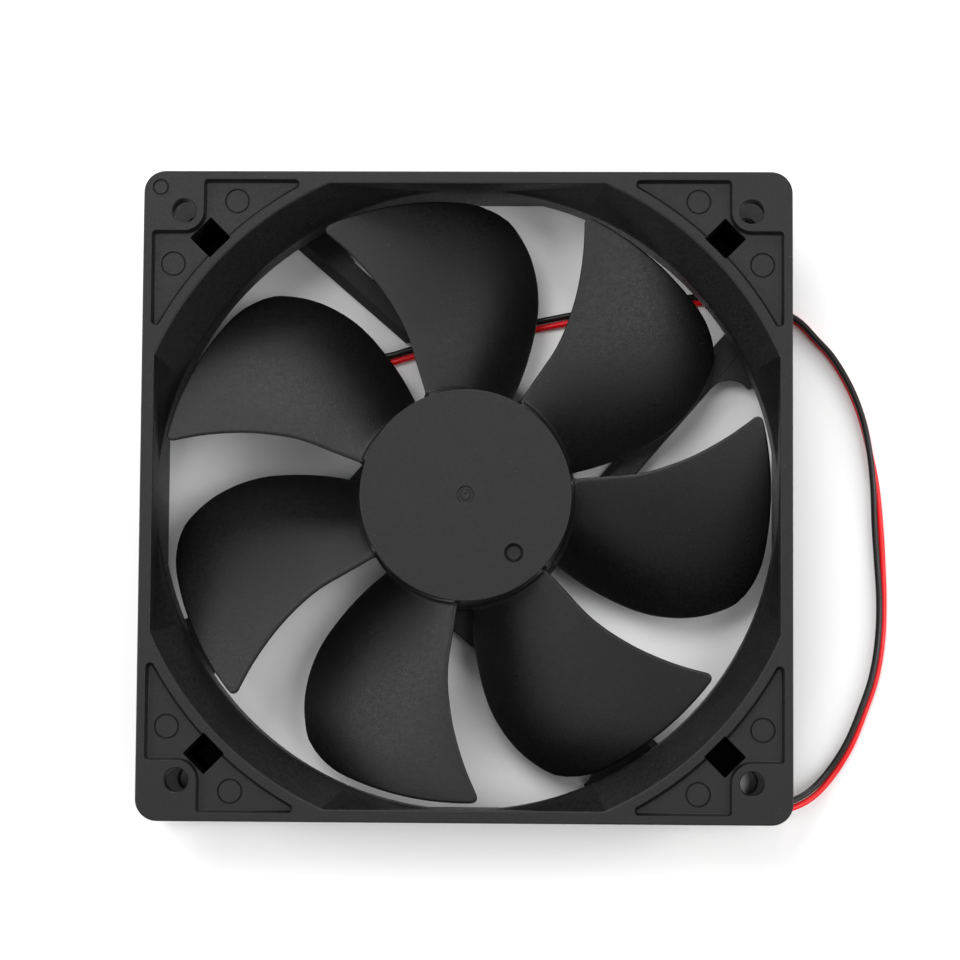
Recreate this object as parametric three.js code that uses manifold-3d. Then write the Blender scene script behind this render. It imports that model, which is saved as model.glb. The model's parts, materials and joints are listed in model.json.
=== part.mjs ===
// A 120 mm axial case fan: open-flange frame, seven-bladed impeller, four-pole brushless motor
// in the hub, and a pair of free leads that end in a two-pin plug.
// Millimetres. +Z is the fan's axis, z = 0 the back face with the struts, and the front face,
// where the air goes in, is at the top.
import * as THREE from "three";
import { mergeVertices } from "three/addons/utils/BufferGeometryUtils.js";
import Module from "manifold-3d";

const wasm = await Module();
wasm.setup();

// ---------------------------------------------------------------- driving dimensions

const frameSide = 120;
const frameDepth = 25;
const frameCorner = 4;
const flange = 4;
const holeSpacing = 105;
const holeRadius = 2.2;
const gap = 0.3;

const throatRadius = 57.85;
const flareRadius = 63.15;
const flareDepth = 8.6;
const boreHalf = 57.65;
const ductRadius = 60.2;
const gussetRadius = 65;

const impellerRadius = 56.45;
const bladeCount = 7;
const bladeTop = 23.5;
const bladeBottom = 6.6;
const firstBladeTurn = 0;
const hubTopRadius = 19.53;
const hubSkirtRadius = 19.9;
const hubBoreRadius = 18.3;
const hubTop = 24.5;
const hubBottom = 6;
const hubCeiling = 22.3;

const baseRadius = 20.5;
const baseHeight = 5;
const baseFloor = 2.4;
const labelRecess = 0.65;
const skirtBore = 19.2;
const strutOuter = 20.2;
const strutWidths = [4.95, 4.95, 9.55, 4.95];
const strutHeight = 3.5;
const strutFillet = 4.45;
const firstStrutTurn = 49.1;

const shaftRadius = 1.5;
const tubeRadius = 3.6;
const tubeBore = 2.9;
const coreBottom = 9;
const coreTop = 15;
const coreRadius = 14.1;
const boardBottom = baseHeight - 0.6;
const boardTop = boardBottom + 1;

const leadRadius = 0.6;
const leadNotchTurn = 125;

const degrees = Math.PI / 180;
const fineSegments = 64;
const midSegments = 36;
const smallSegments = 16;

// ---------------------------------------------------------------- materials

function material(color, roughness, metalness = 0) {
  return new THREE.MeshStandardMaterial({ color, roughness, metalness });
}

const blackPlastic = material(0x2b2b2c, 0.55);
const whiteNylon = material(0xd9d6cc, 0.5);
const blackNylon = material(0x1d1d1e, 0.5);
const copperWire = material(0xb5622c, 0.35, 1);
const siliconSteel = material(0x8b8d90, 0.4, 1);
const yokeSteel = material(0xa3a5a6, 0.35, 1);
const springSteel = material(0x77797c, 0.3, 1);
const brass = material(0xc2a253, 0.3, 1);
const sinteredBronze = material(0x9a7146, 0.6, 1);
const ferrite = material(0x3a3836, 0.7);
const boardGreen = material(0x2f5c3a, 0.5);
const resinBlack = material(0x161616, 0.45);
const foilLabel = material(0xc9cacb, 0.4, 0.3);
const redInsulation = material(0xc4161a, 0.4);
const blackInsulation = material(0x121212, 0.4);
const tinPlate = material(0xb9bcbf, 0.25, 1);

// ---------------------------------------------------------------- shape helpers

function toSolid(geometry) {
  const bare = geometry.clone();
  bare.deleteAttribute("normal");
  bare.deleteAttribute("uv");
  const merged = mergeVertices(bare, 1e-4);
  const corners = Array.from(merged.index.array);
  const triVerts = [];
  for (let i = 0; i < corners.length; i += 3) {
    const [a, b, c] = corners.slice(i, i + 3);
    if (a !== b && b !== c && c !== a) {
      triVerts.push(a, b, c);
    }
  }
  return new wasm.Manifold(new wasm.Mesh({
    numProp: 3,
    vertProperties: Float32Array.from(merged.attributes.position.array),
    triVerts: Uint32Array.from(triVerts),
  }));
}

function toGeometry(solid) {
  const mesh = solid.getMesh();
  const geometry = new THREE.BufferGeometry();
  geometry.setAttribute("position", new THREE.BufferAttribute(mesh.vertProperties, 3));
  geometry.setIndex(new THREE.BufferAttribute(mesh.triVerts, 1));
  return geometry;
}

// A prism of a flat outline from one height to another.
function prism(shape, bottom, top, curveSegments = 8) {
  const depth = top - bottom;
  const geometry = new THREE.ExtrudeGeometry(shape, { depth, bevelEnabled: false, curveSegments });
  return geometry.translate(0, 0, bottom);
}

// A body of revolution about Z. The profile lists [radius, height] pairs, anticlockwise when
// the radius runs to the right and the height up.
function turned(profile, segments = midSegments) {
  const points = profile.map(([radius, height]) => new THREE.Vector2(radius, height));
  return new THREE.LatheGeometry(points, segments).rotateX(Math.PI / 2);
}

function ring(inner, outer, bottom, top, segments = midSegments) {
  return turned([[inner, bottom], [outer, bottom], [outer, top], [inner, top], [inner, bottom]], segments);
}

function disc(radius, bottom, top, segments = midSegments) {
  return turned([[0, bottom], [radius, bottom], [radius, top], [0, top]], segments);
}

function block(low, high) {
  const size = high.map((value, axis) => value - low[axis]);
  const middle = high.map((value, axis) => (value + low[axis]) / 2);
  return new THREE.BoxGeometry(...size).translate(...middle);
}

function rectangle(halfWidth, bottom, top, corner) {
  const shape = new THREE.Shape();
  shape.absarc(halfWidth - corner, bottom + corner, corner, -90 * degrees, 0);
  shape.absarc(halfWidth - corner, top - corner, corner, 0, 90 * degrees);
  shape.absarc(corner - halfWidth, top - corner, corner, 90 * degrees, 180 * degrees);
  shape.absarc(corner - halfWidth, bottom + corner, corner, 180 * degrees, 270 * degrees);
  shape.closePath();
  return shape;
}

// Stands a prism's outline upright, so that it is swept outward along +X instead of up.
function sweptOutward(geometry) {
  const turn = new THREE.Matrix4().makeBasis(
    new THREE.Vector3(0, 1, 0),
    new THREE.Vector3(0, 0, 1),
    new THREE.Vector3(1, 0, 0),
  );
  return geometry.applyMatrix4(turn);
}

function joined(geometries) {
  return geometries.map(toSolid).reduce((whole, part) => whole.add(part));
}

// ---------------------------------------------------------------- scene graph

const fan = new THREE.Group();
const rotor = new THREE.Group();
fan.add(rotor);

function place(parent, name, geometry, finish, turn = 0) {
  const mesh = new THREE.Mesh(geometry, finish);
  mesh.name = name;
  mesh.rotation.z = turn * degrees;
  parent.add(mesh);
}

// ---------------------------------------------------------------- frame

// Both flanges, the duct between them and its conical roots, as one turned spool inside the square.
function frameBody() {
  const square = toSolid(prism(rectangle(frameSide / 2, -frameSide / 2, frameSide / 2, frameCorner),
    0, frameDepth));
  const flangeGap = toSolid(prism(rectangle(frameSide, -frameSide, frameSide, frameCorner),
    flange, frameDepth - flange));
  const spool = toSolid(turned([
    [0, 0],
    [gussetRadius, 0],
    [gussetRadius, flange],
    [ductRadius, flareDepth + 1],
    [ductRadius, frameDepth - flareDepth - 1],
    [gussetRadius, frameDepth - flange],
    [gussetRadius, frameDepth],
    [0, frameDepth],
  ], fineSegments));
  return square.subtract(flangeGap).add(spool.intersect(square));
}

// The air passage: round in the middle, flared to both faces and cut flat along the four sides.
function airPassage() {
  const flared = toSolid(turned([
    [0, -1],
    [flareRadius, -1],
    [flareRadius, 0],
    [throatRadius, flareDepth],
    [throatRadius, frameDepth - flareDepth],
    [flareRadius, frameDepth],
    [flareRadius, frameDepth + 1],
    [0, frameDepth + 1],
  ], fineSegments));
  const sides = toSolid(block([-boreHalf, -boreHalf, -2], [boreHalf, boreHalf, frameDepth + 2]));
  return flared.intersect(sides);
}

const postOffset = 47.65;
const postHoleSide = 5.4;
const postSide = 8.3;
const postFloor = 2.5;
const pocketDepth = 1.2;
const pocketWall = 58.4;
const bossEdge = 48.85;

function squareColumn(side, bottom, top) {
  const half = side / 2;
  const column = block([-half, -half, bottom], [half, half, top]);
  return column.rotateZ(45 * degrees).translate(postOffset, postOffset, 0);
}

// The shallow recess in the front flange, between the corner's screw boss and the inlet rim.
function cornerPocket() {
  const hole = holeSpacing / 2;
  const bossRadius = hole - bossEdge;
  const tip = Math.sqrt(gussetRadius ** 2 - pocketWall ** 2);
  const tipTurn = Math.atan2(tip, pocketWall);
  const shape = new THREE.Shape();
  shape.moveTo(pocketWall, tip);
  shape.lineTo(pocketWall, bossEdge);
  shape.absarc(hole, hole, bossRadius, -90 * degrees, 180 * degrees, true);
  shape.lineTo(bossEdge, pocketWall);
  shape.lineTo(tip, pocketWall);
  shape.absarc(0, 0, gussetRadius, 90 * degrees - tipTurn, tipTurn, true);
  return prism(shape, frameDepth - pocketDepth, frameDepth + 1, 6);
}

function atCorners(geometry) {
  return joined([0, 90, 180, 270].map((turn) => geometry.clone().rotateZ(turn * degrees)));
}

// A strut runs past the axis to one side, from the motor base out into the duct wall. Its
// outer side curves into the wall by a fillet, and its inner side is chamfered in front.
function strut(width) {
  const outer = strutOuter;
  const inner = strutOuter - width;
  const middleX = outer + strutFillet;
  const middleY = Math.sqrt((throatRadius - strutFillet) ** 2 - middleX ** 2);
  const wallTurn = Math.atan2(middleY, middleX) + 15 * degrees;
  const buried = flareRadius + 0.4;
  const edgeX = middleX + strutFillet * Math.cos(wallTurn);
  const edgeY = middleY + strutFillet * Math.sin(wallTurn);
  const outward = buried / Math.hypot(edgeX, edgeY);
  const shape = new THREE.Shape();
  shape.moveTo(inner, 0);
  shape.lineTo(outer, 0);
  shape.absarc(middleX, middleY, strutFillet, Math.PI, wallTurn, true);
  shape.lineTo(edgeX * outward, edgeY * outward);
  shape.lineTo(inner, Math.sqrt(buried ** 2 - inner ** 2));
  shape.closePath();
  const chamferWidth = 1.35;
  const chamferHeight = 2.3;
  const wedge = new THREE.Shape();
  wedge.moveTo(inner - 1, strutHeight + 1);
  wedge.lineTo(inner - 1, strutHeight - chamferHeight - chamferHeight / chamferWidth);
  wedge.lineTo(inner + chamferWidth + 1, strutHeight + chamferHeight / chamferWidth);
  wedge.closePath();
  const cut = prism(wedge, -throatRadius, 0).rotateX(90 * degrees);
  return toSolid(prism(shape, 0, strutHeight)).subtract(toSolid(cut));
}

// A straight channel in the back face for the pair of leads to lie in.
const channelWidth = 4.4;
const strutChannelDepth = 1.8;
const flangeChannelDepth = 3.1;

function leadChannel([x0, y0], [x1, y1], depth) {
  const length = Math.hypot(x1 - x0, y1 - y0);
  const channel = block([0, -channelWidth / 2, -1], [length, channelWidth / 2, depth]);
  return toSolid(channel.rotateZ(Math.atan2(y1 - y0, x1 - x0)).translate(x0, y0, 0));
}

function frame() {
  const hole = holeSpacing / 2;
  const screwHole = disc(holeRadius, -1, frameDepth + 1, smallSegments).translate(hole, hole, 0);
  let body = frameBody().add(atCorners(squareColumn(postSide, 0, frameDepth)));
  body = body.subtract(airPassage());
  body = body.subtract(atCorners(squareColumn(postHoleSide, postFloor, frameDepth + 1)));
  body = body.subtract(atCorners(screwHole));
  body = body.subtract(atCorners(cornerPocket()));
  for (const [quarter, width] of strutWidths.entries()) {
    body = body.add(strut(width).rotate([0, 0, firstStrutTurn + quarter * 90]));
  }
  body = body.add(toSolid(disc(baseRadius, 0, baseHeight, fineSegments)));
  body = body.subtract(toSolid(disc(skirtBore, baseFloor, baseHeight + 1, fineSegments)));
  body = body.subtract(toSolid(disc(skirtBore + 0.6, -1, labelRecess, fineSegments)));
  body = body.subtract(toSolid(disc(tubeBore + 0.4, -1, baseHeight, smallSegments)));
  body = body.add(toSolid(ring(tubeRadius + gap, tubeRadius + 1.6, baseFloor - 1, boardBottom - gap)));
  const notch = block([skirtBore - 1, -channelWidth / 2, baseFloor], [baseRadius + 1, channelWidth / 2, 6]);
  body = body.subtract(toSolid(notch.rotateZ(leadNotchTurn * degrees)));
  body = body.subtract(leadChannel([-13.8, 28.4], [-1.8, 31.4], strutChannelDepth));
  body = body.subtract(leadChannel([40, 39.3], [55, 39.5], flangeChannelDepth));
  body = body.subtract(leadChannel([53, 40.2], [65, 33.7], flangeChannelDepth));
  return body;
}

place(fan, "frame", toGeometry(frame()), blackPlastic);

// ---------------------------------------------------------------- impeller

// Where the two edges of the first blade lie, as angles at hand-picked radii. The leading
// edge is in front and hollow, the trailing edge behind and bowed.
const edgeRadii = [18, 25, 32, 40, 48, 54, 58];
const leadingTurns = [60.6, 59.5, 58.9, 60.8, 63.8, 66.4, 68.2];
const trailingTurns = [16.1, 15.7, 16.9, 19.6, 24.7, 30.6, 35.4];
const leadingTurn = new THREE.CubicInterpolant(edgeRadii, leadingTurns, 1, [0]);
const trailingTurn = new THREE.CubicInterpolant(edgeRadii, trailingTurns, 1, [0]);

// How far a rounded corner pulls an edge back at a radius, in millimetres along the rim.
function cornerPull(radius, radial, along) {
  const into = Math.max(0, radius - (impellerRadius - radial)) / radial;
  return along * (1 - Math.sqrt(Math.max(0, 1 - into * into)));
}

// One point of the blade's camber surface: u runs from the leading edge to the trailing edge.
function camberPoint(radius, u) {
  const lead = leadingTurn.evaluate(radius)[0] * degrees;
  const trail = trailingTurn.evaluate(radius)[0] * degrees;
  const chord = (lead - trail) * radius;
  const height = bladeTop - bladeBottom;
  const flatness = 0.55;
  return {
    turn: lead - (lead - trail) * u,
    z: bladeTop - height * (flatness * u + (1 - flatness) * u * u),
    alongSlope: chord,
    downSlope: height * (flatness + 2 * (1 - flatness) * u),
  };
}

function bladeLoop(radius) {
  const probe = camberPoint(radius, 0);
  const first = cornerPull(radius, 1.7, 1.9) / probe.alongSlope;
  const last = 1 - cornerPull(radius, 3.2, 7) / probe.alongSlope;
  const stations = [0, 0.04, 0.2, 0.4, 0.6, 0.8, 0.96, 1];
  const rootShare = Math.max(0, (28 - radius) / 9);
  const middleThickness = 1.7 - 0.5 * (radius - hubTopRadius) / (impellerRadius - hubTopRadius) + 0.6 * rootShare;
  const upper = [];
  const lower = [];
  for (const station of stations) {
    const point = camberPoint(radius, first + (last - first) * station);
    const edge = station === 0 || station === 1;
    const bulge = Math.sqrt(4 * station * (1 - station));
    const half = edge ? 0.22 : 0.35 + (middleThickness / 2 - 0.35) * bulge;
    const length = Math.hypot(point.alongSlope, point.downSlope);
    const back = half * point.downSlope / length / radius;
    const up = half * point.alongSlope / length;
    upper.push([radius, point.turn - back, point.z + up]);
    lower.unshift([radius, point.turn + back, point.z - up]);
  }
  return [...upper, ...lower].map(([r, turn, z]) => [r * Math.cos(turn), r * Math.sin(turn), z]);
}

// Closes a stack of equal-length loops into a solid: bands between them and a strip at each end.
function lofted(loops) {
  const count = loops[0].length;
  const positions = loops.flat(2);
  const index = [];
  for (let level = 0; level + 1 < loops.length; level += 1) {
    for (let i = 0; i < count; i += 1) {
      const a = level * count + i;
      const b = level * count + (i + 1) % count;
      index.push(a, b, b + count, a, b + count, a + count);
    }
  }
  const last = (loops.length - 1) * count;
  for (let i = 0; i + 1 < count / 2; i += 1) {
    const j = count - 1 - i;
    index.push(i, j, i + 1, j, j - 1, i + 1);
    index.push(last + i, last + i + 1, last + j, last + j, last + i + 1, last + j - 1);
  }
  const geometry = new THREE.BufferGeometry();
  geometry.setAttribute("position", new THREE.Float32BufferAttribute(positions, 3));
  geometry.setIndex(index);
  return geometry;
}

function blade() {
  const radii = [18.9, 23, 29, 36, 43, 49, 53, 54.8, 55.8, impellerRadius];
  return lofted(radii.map(bladeLoop));
}

function impeller() {
  let body = toSolid(turned([
    [0, hubCeiling],
    [tubeRadius + 0.1, hubCeiling],
    [tubeRadius + 0.1, 17.7],
    [5.4, 17.7],
    [5.4, hubCeiling],
    [hubBoreRadius, hubCeiling],
    [hubBoreRadius, hubBottom],
    [hubSkirtRadius, hubBottom],
    [hubTopRadius, hubTop - 0.5],
    [hubTopRadius - 0.4, hubTop],
    [0, hubTop],
  ], fineSegments));
  const oneBlade = toSolid(blade());
  for (let i = 0; i < bladeCount; i += 1) {
    body = body.add(oneBlade.rotate([0, 0, firstBladeTurn + 360 * i / bladeCount]));
  }
  return body;
}

place(rotor, "impeller", toGeometry(impeller()), blackPlastic);

// ---------------------------------------------------------------- rotor insides

const yokeRadius = hubBoreRadius - gap;
const yokeWall = 1;
const yokeBottom = 7.5;
const yokeTop = hubCeiling - gap;

place(rotor, "rotor_yoke", turned([
  [5.7, yokeTop - 0.8],
  [yokeRadius - yokeWall, yokeTop - 0.8],
  [yokeRadius - yokeWall, yokeBottom],
  [yokeRadius, yokeBottom],
  [yokeRadius, yokeTop],
  [5.7, yokeTop],
  [5.7, yokeTop - 0.8],
]), yokeSteel);
place(rotor, "magnet_ring", ring(14.6, yokeRadius - yokeWall - gap, 8.5, 19.5), ferrite);
place(rotor, "shaft_bush", ring(shaftRadius + gap, tubeRadius - 0.25, 17.8, yokeTop, smallSegments), brass);

// The shaft is necked near its lower end, where the retaining clip sits.
const neckBottom = 4.4;
const neckTop = 5.4;
const neckRadius = 1;
place(rotor, "shaft", turned([
  [0, 3.4],
  [shaftRadius - 0.3, 3.4],
  [shaftRadius, 3.8],
  [shaftRadius, neckBottom],
  [neckRadius, neckBottom],
  [neckRadius, neckTop],
  [shaftRadius, neckTop],
  [shaftRadius, yokeTop],
  [0, yokeTop],
], smallSegments), springSteel);
place(rotor, "retaining_clip", ring(neckRadius + gap, 2.4, neckBottom + gap, neckTop - gap, smallSegments),
  whiteNylon);
place(rotor, "slinger_washer", ring(shaftRadius + gap, 2.5, 16.8, 17.1, smallSegments), whiteNylon);

// ---------------------------------------------------------------- bearing

place(fan, "bearing_tube", ring(tubeBore, tubeRadius, baseFloor + gap, 17.3, smallSegments), brass);
place(fan, "sleeve_bearing", turned([
  [shaftRadius + 0.1, 6.2],
  [2.3, 6.2],
  [tubeBore - gap, 6.6],
  [tubeBore - gap, 15.3],
  [2.3, 15.7],
  [shaftRadius + 0.1, 15.7],
  [shaftRadius + 0.1, 6.2],
], smallSegments), sinteredBronze);
place(fan, "thrust_washer", ring(shaftRadius + 0.2, tubeBore - gap, 5.5, 5.9, smallSegments), whiteNylon);
place(fan, "felt_washer", ring(shaftRadius + 0.25, tubeBore - gap, 16, 16.5, smallSegments), whiteNylon);
place(fan, "bearing_plug", turned([
  [0, 0.7],
  [2.6, 0.7],
  [3, 1.1],
  [3, 2.2],
  [0, 2.2],
], smallSegments), blackNylon);
place(fan, "rating_label", disc(19.4, 0.2, 0.35), foilLabel);

// ---------------------------------------------------------------- stator

const armHalf = 1.5;
const shoeInner = 12.4;
const shoeHalfTurn = 38;
const coreBore = tubeRadius + gap;

// One lamination outline: a hub ring, four arms and their curved pole shoes.
function coreShape() {
  const hubRadius = 6;
  const hubTurn = Math.asin(armHalf / hubRadius);
  const armTurn = Math.asin(armHalf / shoeInner);
  const shoe = shoeHalfTurn * degrees;
  const shape = new THREE.Shape();
  for (let i = 0; i < 4; i += 1) {
    const middle = 90 * i * degrees;
    shape.absarc(0, 0, shoeInner, middle - armTurn, middle - shoe, true);
    shape.absarc(0, 0, coreRadius, middle - shoe, middle + shoe, false);
    shape.absarc(0, 0, shoeInner, middle + shoe, middle + armTurn, true);
    for (const foot of [middle + hubTurn, middle + 90 * degrees - hubTurn]) {
      shape.lineTo(hubRadius * Math.cos(foot), hubRadius * Math.sin(foot));
    }
  }
  shape.closePath();
  const bore = new THREE.Path();
  bore.absarc(0, 0, coreBore, 0, 360 * degrees, true);
  shape.holes.push(bore);
  return shape;
}

place(fan, "stator_core", prism(coreShape(), coreBottom, coreTop, 4), siliconSteel);

// A bobbin half insulates one face of the core: a collar, four arms and the walls at their ends.
const bobbinPlate = 0.8;

function bobbin(faceHeight, away) {
  const near = faceHeight + away * gap;
  const plate = near + away * bobbinPlate;
  const wallTop = near + away * 2.2;
  const collarTop = near + away * 2;
  const span = (a, b) => [Math.min(a, b), Math.max(a, b)];
  const [plateLow, plateHigh] = span(near, plate);
  const [wallLow, wallHigh] = span(near, wallTop);
  const [collarLow, collarHigh] = span(near, collarTop);
  let body = toSolid(ring(coreBore, 6.4, collarLow, collarHigh, 24));
  for (let i = 0; i < 4; i += 1) {
    const arm = block([5.5, -1.8, plateLow], [12.2, 1.8, plateHigh]);
    const wall = block([11.9, -4.2, wallLow], [12.7, 4.2, wallHigh]);
    body = body.add(joined([arm, wall]).rotate([0, 0, 90 * i]));
  }
  return body;
}

const pinTurns = [45, 135, 225];
const pinRadius = 8.3;

// The lower bobbin also carries a lug between the arms for each winding pin.
function lowerBobbin() {
  let body = bobbin(coreBottom, -1);
  for (const turn of pinTurns) {
    const lug = block([5.9, -0.9, 6.7], [9.3, 0.9, 8.2]);
    body = body.add(toSolid(lug.rotateZ(turn * degrees)));
  }
  return body;
}

place(fan, "lower_bobbin", toGeometry(lowerBobbin()), whiteNylon);
place(fan, "upper_bobbin", toGeometry(bobbin(coreTop, 1)), whiteNylon);

// A coil is wound round an arm and both bobbin plates.
const coilInner = 6.9;
const coilOuter = 11.6;

function coil() {
  const windowBottom = coreBottom - 2 * gap - bobbinPlate;
  const windowTop = coreTop + 2 * gap + bobbinPlate;
  const winding = 1.5;
  const shape = rectangle(4, windowBottom - winding, windowTop + winding, 1.6);
  shape.holes.push(rectangle(2.1, windowBottom, windowTop, 0.3));
  return sweptOutward(prism(shape, coilInner, coilOuter, 4));
}

for (let i = 0; i < 4; i += 1) {
  place(fan, `coil_${i + 1}`, coil(), copperWire, 90 * i);
}

// ---------------------------------------------------------------- circuit board

function board() {
  let body = toSolid(ring(coreBore + 0.1, skirtBore - 0.6, boardBottom, boardTop));
  for (const turn of pinTurns) {
    const hole = disc(0.8, boardBottom - 1, boardTop + 1, 12).translate(pinRadius, 0, 0);
    body = body.subtract(toSolid(hole.rotateZ(turn * degrees)));
  }
  return body;
}

place(fan, "circuit_board", toGeometry(board()), boardGreen);

pinTurns.forEach((turn, i) => {
  const pin = block([pinRadius - 0.32, -0.32, 3.1], [pinRadius + 0.32, 0.32, 6.4]);
  place(fan, `winding_pin_${i + 1}`, pin, tinPlate, turn);
});

// A moulded component on the board, out along a radius, with a chamfered top.
function component(name, turn, radius, along, across, height, finish) {
  const low = boardTop + gap;
  const shape = new THREE.Shape();
  shape.moveTo(-across / 2, low);
  shape.lineTo(across / 2, low);
  shape.lineTo(across / 2, low + height * 0.6);
  shape.lineTo(across / 2 - 0.25, low + height);
  shape.lineTo(0.25 - across / 2, low + height);
  shape.lineTo(-across / 2, low + height * 0.6);
  shape.closePath();
  const body = sweptOutward(prism(shape, radius - along / 2, radius + along / 2));
  place(fan, name, body, finish, turn);
}

component("hall_sensor", 45, 15.6, 1.6, 4, 1.5, resinBlack);
component("driver_chip", 315, 14, 4, 5, 1.5, resinBlack);
component("capacitor", 225, 14, 1.6, 3.2, 1.4, material(0x8a6a4a, 0.5));
component("diode", 185, 15.4, 1.9, 3.8, 1.3, resinBlack);

// ---------------------------------------------------------------- leads and plug

// The middle line of the pair of leads, from the solder pads to the plug. Each row is
// [x, y, z, roll, spread]: roll turns the pair about the line, from black on the left at 0
// through black on top at 90 to black on the right at 180, and spread is half the distance
// between the two.
const leadRoute = [
  [-6.6, 9.4, 3.35, 0, 0.7],
  [-11.3, 16.1, 3.3, 0, 0.7],
  [-13.4, 18.7, 2.5, 0, 0.7],
  [-16.4, 20.5, 1.2, 0, 0.7],
  [-21.0, 20.1, 0.68, 0, 0.7],
  [-25.6, 18.9, 0.68, 0, 0.7],
  [-29.5, 18.5, 0.68, 0, 0.7],
  [-32.2, 19.8, 0.68, 0, 0.7],
  [-33.3, 22.5, 0.68, 0, 0.7],
  [-32.5, 25.3, 0.68, 0, 0.7],
  [-30.1, 26.9, 0.68, 0, 0.7],
  [-25.8, 27.0, 0.68, 0, 0.7],
  [-16.6, 27.6, 0.68, 0, 0.7],
  [-10.3, 29.3, 0.68, 0, 0.7],
  [-2.0, 31.3, 0.68, 0, 0.7],
  [19.0, 35.7, 0.68, 0, 0.7],
  [31.0, 37.9, 0.7, 5, 0.7],
  [43.4, 39.4, 1.08, 38, 0.7],
  [53.0, 39.5, 1.3, 62, 0.7],
  [62.4, 35.4, 1.38, 80, 0.7],
  [66.2, 31.6, 1.38, 82, 0.7],
  [69.0, 28.5, 1.38, 82, 0.7],
  [72.6, 22.4, 1.38, 82, 0.7],
  [74.9, 16.3, 1.38, 86, 0.7],
  [76.2, 10.5, 1.37, 96, 0.7],
  [77.2, 3.9, 1.26, 122, 0.7],
  [77.7, -3.5, 1.06, 146, 0.7],
  [78.1, -10.4, 1.08, 144, 0.7],
  [78.4, -18.0, 1.2, 132, 0.7],
  [78.1, -25.6, 1.2, 132, 0.7],
  [76.9, -32.7, 1.2, 132, 0.7],
  [74.8, -38.9, 1.2, 132, 0.7],
  [72.0, -45.6, 1.14, 140, 0.7],
  [68.2, -51.4, 1.2, 150, 0.7],
  [64.6, -54.9, 2.5, 160, 0.7],
  [60.4, -56.8, 4.8, 155, 0.7],
  [56.0, -57.3, 6.3, 130, 0.8],
  [51.5, -57.1, 7.5, 100, 1.1],
  [48.0, -57.1, 8, 90, 1.25],
  [45.5, -57.1, 8, 90, 1.25],
];

function leadPath(side) {
  const points = leadRoute.map(([x, y, z, roll, spread], i) => {
    const before = leadRoute[Math.max(i - 1, 0)];
    const after = leadRoute[Math.min(i + 1, leadRoute.length - 1)];
    const run = new THREE.Vector2(after[0] - before[0], after[1] - before[1]).normalize();
    const across = side * spread * Math.cos(roll * degrees);
    const up = side * spread * Math.sin(roll * degrees);
    return new THREE.Vector3(x - run.y * across, y + run.x * across, z + up);
  });
  const path = new THREE.CatmullRomCurve3(points, false, "centripetal");
  path.arcLengthDivisions = 1200;
  return path;
}

function lead(side) {
  const section = new THREE.Shape().absarc(0, 0, leadRadius, 0, 360 * degrees);
  return new THREE.ExtrudeGeometry(section, {
    steps: 78,
    curveSegments: 4,
    bevelEnabled: false,
    extrudePath: leadPath(side),
  });
}

place(fan, "lead_black", lead(1), blackInsulation);
place(fan, "lead_red", lead(-1), redInsulation);

const plugLow = [38, -59.95, 4.3];
const plugHigh = [48, -54.2, 11.7];
const plugPitch = 2.5;
const cavityHalfWidth = 1.3;
const cavityHalfHeight = 0.95;
const plugY = (plugLow[1] + plugHigh[1]) / 2;
const plugZ = (plugLow[2] + plugHigh[2]) / 2;

// The plug's housing has a through cavity for each terminal, a latch window over each and
// two keying ribs on its upper side.
function plugHousing() {
  const ribs = [1, -1].map((side) => block(
    [plugLow[0], plugY + side * 1.9 - 0.45, plugHigh[2] - 0.5],
    [plugHigh[0] - 4, plugY + side * 1.9 + 0.45, plugHigh[2] + 0.5],
  ));
  let body = joined([block(plugLow, plugHigh), ...ribs]);
  for (const side of [1, -1]) {
    const z = plugZ + side * plugPitch / 2;
    const cavity = block(
      [plugLow[0] - 1, plugY - cavityHalfWidth, z - cavityHalfHeight],
      [plugHigh[0] + 1, plugY + cavityHalfWidth, z + cavityHalfHeight],
    );
    const latch = block([41, plugHigh[1] - 2.5, z - 0.6], [43.4, plugHigh[1] + 1, z + 0.6]);
    body = body.subtract(joined([cavity, latch]));
  }
  return body;
}

place(fan, "plug_housing", toGeometry(plugHousing()), whiteNylon);

// A terminal is a square receptacle with a crimp barrel behind it that meets the lead.
function terminal(z) {
  const barrel = turned([[0, 0], [0.6, 0], [0.6, 2.4], [0, 2.4]], 12).rotateY(90 * degrees);
  const receptacle = toSolid(block([39, plugY - 0.95, z - 0.6], [43.2, plugY + 0.95, z + 0.6]));
  const socket = toSolid(block([38.5, plugY - 0.5, z - 0.3], [42.4, plugY + 0.5, z + 0.3]));
  return receptacle.subtract(socket).add(toSolid(barrel.translate(42.8, plugY, z)));
}

place(fan, "crimp_terminal_black", toGeometry(terminal(plugZ + plugPitch / 2)), tinPlate);
place(fan, "crimp_terminal_red", toGeometry(terminal(plugZ - plugPitch / 2)), tinPlate);

export default fan;
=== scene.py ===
"""A 120 mm case fan lying on its back on a white table.

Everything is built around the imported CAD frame. Shapes are worked out in millimetres and scaled
to metres when a mesh is made. +Z is the fan's axis, and z = 0 is the face that it lies on.
"""

import json
import math

import bmesh
import bpy
from mathutils import Matrix, Vector


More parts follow.
